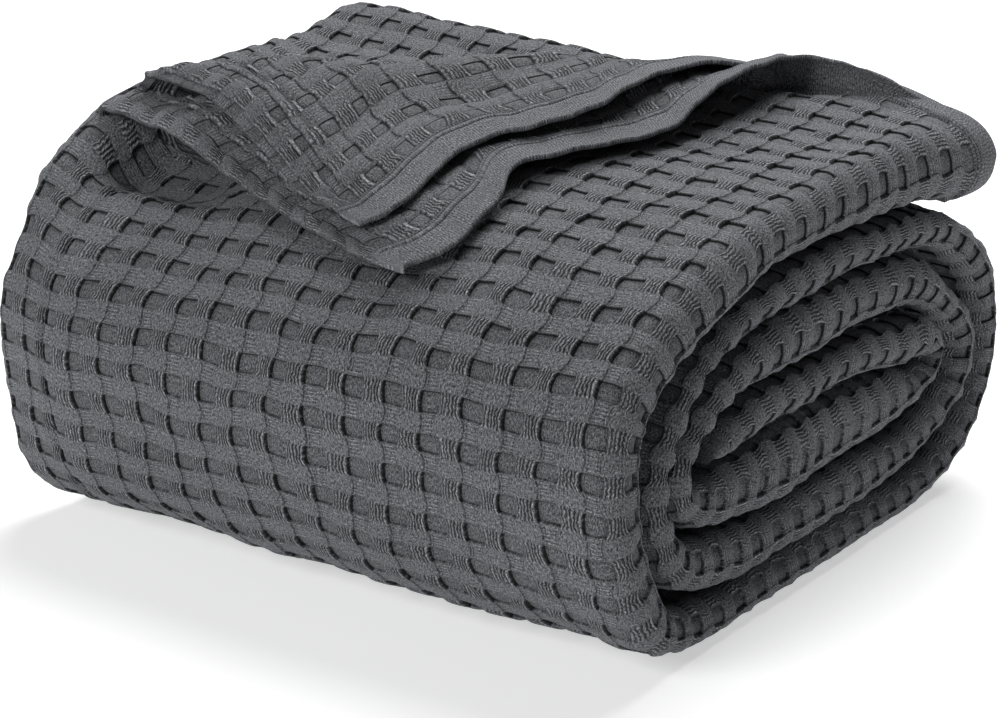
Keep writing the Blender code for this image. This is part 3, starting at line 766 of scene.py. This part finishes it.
# ---- pieces ----
EDGE_L, EDGE_R = X_LEFT - 3.4, X_RIGHT + 4.2
SHOULDER = ROW_ZERO - 6.0
top_turn = pack_surface("outer_turn_top", 0.0, SHOULDER, EDGE_L, EDGE_R, FINE, PAIR)
front = pack_surface("outer_turn_front", SHOULDER, 28.12, EDGE_L, EDGE_R, FINE, PAIR)
back = pack_surface("outer_turn_back", 28.1, 53.1, EDGE_L, EDGE_R, COARSE, PAIR)
coil_right = pack_surface("inner_turns_right", 53.1, LENGTH + 0.01, -2.6, X_RIGHT + 4.6, COARSE, PAIR)
coil_left = pack_surface("inner_turns_left", 53.1, LENGTH + 0.01, X_LEFT - 4.6, X_LEFT + 2.6, COARSE, PAIR)
upper = leaf_surface("upper", 1.20, 0.11, [leaf_cloth_painted_shade, plain])
lower = leaf_surface("lower", 1.10, 0.11, PAIR)


def edge_layers(name, count, width0, width1, long, material):
    """An open end of the pack: the hem edges of the layers between its two faces."""
    rng = np.random.default_rng(5)
    xs = np.linspace(0.0, 1.0, 110)
    vertices, faces, weave, edge = [], [], [], []
    for k in range(count):
        u = (k + 0.75) / (count + 0.5)
        thick = winding.at(0.0)[4]
        half = 0.40 * thick / (count + 0.5)
        round_off = math.sqrt(max(1 - (2 * u - 1) ** 2, 0.05))
        wide = 2 * BULGE + 0.55
        x = width0 - BULGE * round_off * 0.8 + (width1 - width0 + wide * round_off * 0.8) * xs
        back_by = rng.uniform(0.05, 0.22) + 0.05 * waves(50 + k, x, 0 * x, 5.0) + 0.02 * waves(60 + k, x, 0 * x, 1.2)
        sag = 0.06 * waves(70 + k, x, 0 * x, 4.0)
        profile = [(long, -1.0), (0.14, -1.0), (0.04, -0.75), (0.0, -0.25), (0.0, 0.25), (0.04, 0.75), (0.14, 1.0), (long, 1.0)]
        first = len(vertices)
        for dw, dd in profile:
            w = np.maximum(back_by, 0.02) + dw
            deep = u * thick + sag * thick / 2.3 + dd * half
            vertices += [tuple(p) for p in metres(slab(winding, w, x, deep))]
            weave += list(zip(x / COLUMN, w))
            edge += [(dw, q) for q in x / COLUMN]
        m, rows = len(xs), len(profile)
        for i in range(rows):
            j = (i + 1) % rows
            for c in range(m - 1):
                faces.append((first + i * m + c, first + j * m + c, first + j * m + c + 1, first + i * m + c + 1))
        faces.append(tuple(first + i * m for i in range(rows))[::-1])
        faces.append(tuple(first + i * m + m - 1 for i in range(rows)))
    mesh = bpy.data.meshes.new(name)
    mesh.from_pydata(vertices, [], faces)
    made = bmesh.new()
    made.from_mesh(mesh)
    bmesh.ops.recalc_face_normals(made, faces=made.faces[:])
    made.to_mesh(mesh)
    made.free()
    loops = np.zeros(len(mesh.loops), np.int32)
    mesh.loops.foreach_get("vertex_index", loops)
    for label, pairs in (("weave", weave), ("edge", edge)):
        uv = mesh.uv_layers.new(name=label)
        uv.data.foreach_set("uv", np.array(pairs, np.float32)[loops].reshape(-1))
    mesh.shade_smooth()
    mesh.set_sharp_from_angle(angle=math.radians(52))
    mesh.materials.append(material)
    obj = bpy.data.objects.new(name, mesh)
    bpy.context.scene.collection.objects.link(obj)
    return obj


loose = edge_layers("loose_end_layers", 6, X_LEFT, X_RIGHT, 1.6, plain)


def core_piece():
    """The hidden inner layers: a plug that fills the turns between the two ends."""
    w = np.linspace(5.0, 51.0, 120)
    y, z, ny, nz, thick = winding.at(w)
    rings = []
    for x in np.linspace(-15.7, -2.3, 9):
        rings.append(np.stack(warp(np.full_like(w, x), y - ny * thick * 0.5, z - nz * thick * 0.5), -1))
    points = np.stack(rings)
    n, m = points.shape[:2]
    mesh = bpy.data.meshes.new("inner_layers")
    faces = []
    for i in range(n - 1):
        for j in range(m):
            k = (j + 1) % m
            faces.append((i * m + j, i * m + k, (i + 1) * m + k, (i + 1) * m + j))
    faces.append(tuple(range(m))[::-1])
    faces.append(tuple(range((n - 1) * m, n * m)))
    mesh.from_pydata([tuple(p) for p in metres(points.reshape(-1, 3))], [], faces)
    made = bmesh.new()
    made.from_mesh(mesh)
    bmesh.ops.recalc_face_normals(made, faces=made.faces[:])
    made.to_mesh(mesh)
    made.free()
    uv = mesh.uv_layers.new(name="weave")
    co = np.array([v.co[:] for v in mesh.vertices])
    loops = np.zeros(len(mesh.loops), np.int32)
    mesh.loops.foreach_get("vertex_index", loops)
    uv.data.foreach_set("uv", (co[loops][:, 1:] / REPEAT).astype(np.float32).reshape(-1))
    mesh.materials.append(plain)
    obj = bpy.data.objects.new("inner_layers", mesh)
    bpy.context.scene.collection.objects.link(obj)
    return obj


core = core_piece()

for piece in (top_turn, front, back, coil_right, coil_left, upper, lower, loose, core):
    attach(piece, "root")
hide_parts("blanket")


# ---- stage, light, camera ----
def floor():
    mesh = bpy.data.meshes.new("floor")
    size = 6.0
    mesh.from_pydata([(-size, -size, 0), (size, -size, 0), (size, size, 0), (-size, size, 0)], [], [(0, 1, 2, 3)])
    material = bpy.data.materials.new("floor_white")
    material.use_nodes = True
    shader = material.node_tree.nodes["Principled BSDF"]
    shader.inputs["Base Color"].default_value = (0.72, 0.72, 0.72, 1)
    shader.inputs["Roughness"].default_value = 0.9
    shader.inputs["Specular IOR Level"].default_value = 0.0
    shader.inputs["Emission Color"].default_value = (1, 1, 1, 1)
    shader.inputs["Emission Strength"].default_value = 0.50
    mesh.materials.append(material)
    obj = bpy.data.objects.new("floor", mesh)
    obj.location.z = -0.0004
    bpy.context.scene.collection.objects.link(obj)
    return obj


def lamp(name, place, target, size, power, colour=(1, 1, 1)):
    data = bpy.data.lights.new(name, "AREA")
    data.shape = "DISK"
    data.size = size
    data.energy = power
    data.color = colour
    obj = bpy.data.objects.new(name, data)
    away = np.array(place, float) - np.array(target, float)
    away /= np.linalg.norm(away)
    side = np.cross([0, 0, 1.0], away)
    side /= np.linalg.norm(side)
    up = np.cross(away, side)
    turn = Matrix(((side[0], up[0], away[0]), (side[1], up[1], away[1]), (side[2], up[2], away[2]))).to_4x4()
    obj.matrix_world = Matrix.Translation(place) @ turn
    bpy.context.scene.collection.objects.link(obj)
    return obj


floor()
lamp("key", (-0.25, 0.88, 1.42), (0, 0, 0.08), 1.5, 42.5)
lamp("front_fill", (-0.40, -1.80, 1.10), (0, 0, 0.08), 1.0, 23.5)

world = bpy.data.worlds.new("studio")
bpy.context.scene.world = world
world.use_nodes = True
world.node_tree.nodes["Background"].inputs["Color"].default_value = (1, 1, 1, 1)
sky = world.node_tree.nodes["Background"]
seen = world.node_tree.nodes.new("ShaderNodeLightPath").outputs["Is Camera Ray"]
level = world.node_tree.nodes.new("ShaderNodeMath")  # a pale backdrop that adds little light
level.operation = "MULTIPLY_ADD"
world.node_tree.links.new(seen, level.inputs[0])
level.inputs[1].default_value, level.inputs[2].default_value = 0.45, 0.09
world.node_tree.links.new(level.outputs[0], sky.inputs["Strength"])
bpy.context.scene.view_settings.view_transform = "Standard"

FOCAL_PX, TURN, TILT, ROLL = 2100.46, 0.63273, 0.29470, -0.00326
CAMERA_AT = (23.2125, -34.5260, 20.5045)  # in repeats
data = bpy.data.cameras.new("camera")
data.sensor_width = 36.0
data.lens = FOCAL_PX / 1000 * 36.0
data.clip_start, data.clip_end = 0.01, 50
camera = bpy.data.objects.new("camera", data)
back_way = np.array([math.sin(TURN) * math.cos(TILT), -math.cos(TURN) * math.cos(TILT), math.sin(TILT)])
right_way = np.array([math.cos(TURN), math.sin(TURN), 0.0])
up_way = np.cross(back_way, right_way)
c, s = math.cos(ROLL), math.sin(ROLL)
right_2, up_2 = c * right_way + s * up_way, -s * right_way + c * up_way
place = metres(np.array(CAMERA_AT))
camera.matrix_world = Matrix.Translation(place) @ Matrix(
    [(right_2[i], up_2[i], back_way[i]) for i in range(3)]
).to_4x4()
bpy.context.scene.collection.objects.link(camera)
bpy.context.scene.camera = camera
